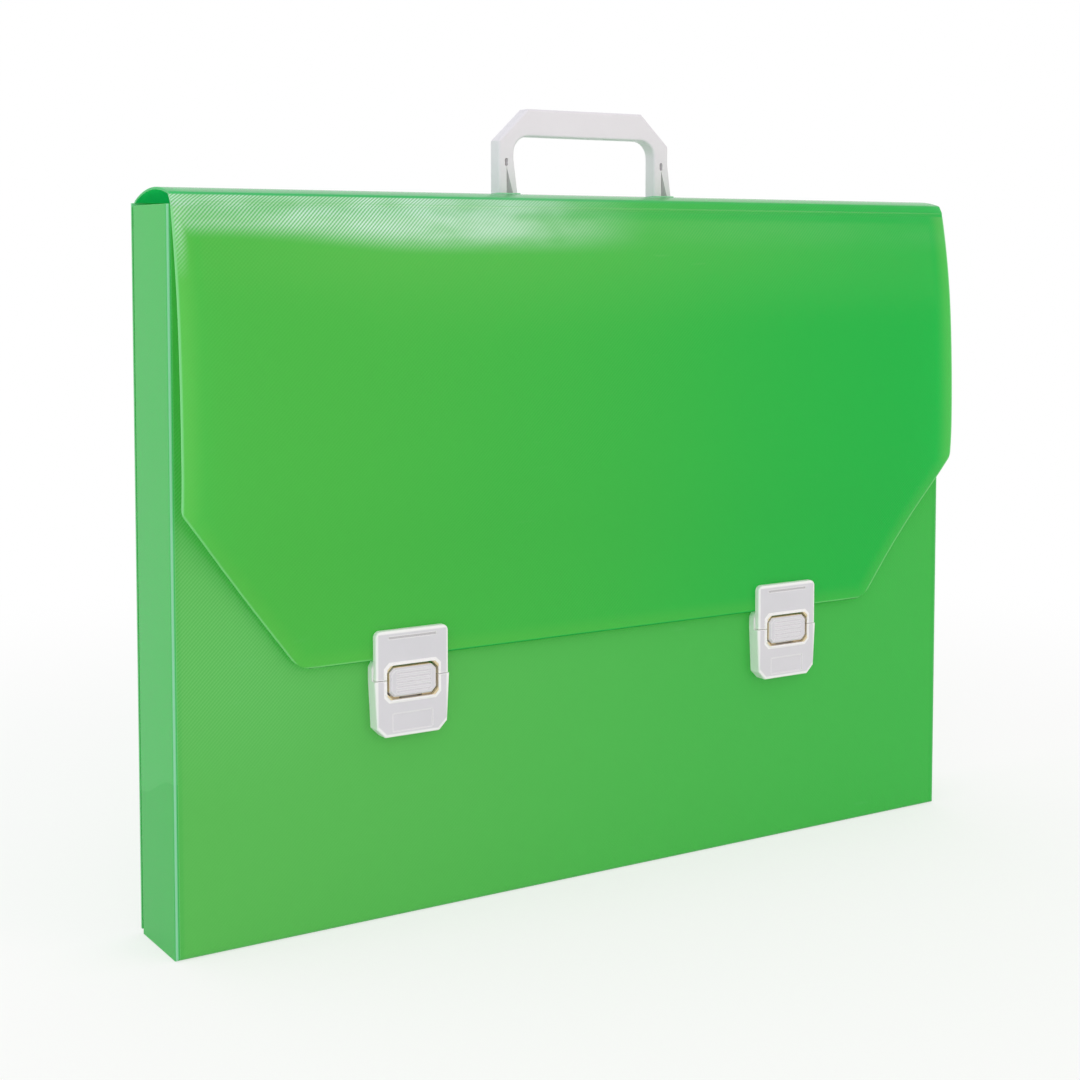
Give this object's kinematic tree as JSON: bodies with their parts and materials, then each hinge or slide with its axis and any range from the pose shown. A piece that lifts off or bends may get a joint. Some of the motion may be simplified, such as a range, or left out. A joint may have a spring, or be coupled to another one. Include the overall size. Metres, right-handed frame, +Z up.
{
  "type": "document case",
  "caption": "Creased plastic document case with a narrow base, bowed lid flap, push-button locks with sprung catches, and a pull-up handle that slides in the arched spine.",
  "frame": {"origin": "middle of the base's flat underside, on the ground", "axes": "+X along the width, to the right seen from the front; +Y from the front towards the back; +Z up"},
  "size_m": [0.38, 0.0479, 0.3205],
  "materials": {
    "sheet": "embossed, slightly see-through",
    "fittings": "semi-gloss moulding",
    "spring_steel": "bright wire"
  },
  "bodies": {
    "case": {"front_panel": "sheet", "back_panel": "sheet", "base_panel": "sheet", "left_gusset": "sheet", "right_gusset": "sheet", "left_tuck_tab": "sheet", "right_tuck_tab": "sheet", "gusset_rivets": "fittings", "left_lock_housing": "fittings", "left_lock_backplate": "fittings", "left_lock_spring": "spring_steel", "right_lock_housing": "fittings", "right_lock_backplate": "fittings", "right_lock_spring": "spring_steel"},
    "spine": {"spine_panel": "sheet"},
    "handle": {"handle": "fittings"},
    "flap": {"flap_panel": "sheet", "left_hasp": "fittings", "left_hasp_backplate": "fittings", "right_hasp": "fittings", "right_hasp_backplate": "fittings"},
    "left_button": {"left_push_button": "fittings"},
    "left_catch": {"left_catch_slider": "fittings"},
    "right_button": {"right_push_button": "fittings"},
    "right_catch": {"right_catch_slider": "fittings"}
  },
  "joints": [
    {"name": "spine_hinge", "type": "hinge", "parent": "case", "child": "spine", "pos_m": [0, 0.018, 0.28], "axis": [-1, 0, 0], "range_deg": [0, 180]},
    {"name": "flap_hinge", "type": "hinge", "parent": "spine", "child": "flap", "pos_m": [0, -0.0194, 0.28], "axis": [-1, 0, 0], "range_deg": [0, 165]},
    {"name": "handle_slide", "type": "slide", "parent": "spine", "child": "handle", "axis": [0, 0, -1], "range_m": [0, 0.0165]},
    {"name": "left_button_press", "type": "slide", "parent": "case", "child": "left_button", "axis": [0, 1, 0], "range_m": [0, 0.0018]},
    {"name": "left_catch_slide", "type": "slide", "parent": "case", "child": "left_catch", "axis": [0, 0, -1], "range_m": [0, 0.0018], "stiffness_N_per_m": 300, "springref_m": -0.002, "deforming": ["left_lock_spring"]},
    {"name": "right_button_press", "type": "slide", "parent": "case", "child": "right_button", "axis": [0, 1, 0], "range_m": [0, 0.0018]},
    {"name": "right_catch_slide", "type": "slide", "parent": "case", "child": "right_catch", "axis": [0, 0, -1], "range_m": [0, 0.0018], "stiffness_N_per_m": 300, "springref_m": -0.002, "deforming": ["right_lock_spring"]}
  ],
  "couplings": [
    {"joint": "left_catch_slide", "follows": "left_button_press", "ratio": 1},
    {"joint": "right_catch_slide", "follows": "right_button_press", "ratio": 1}
  ]
}
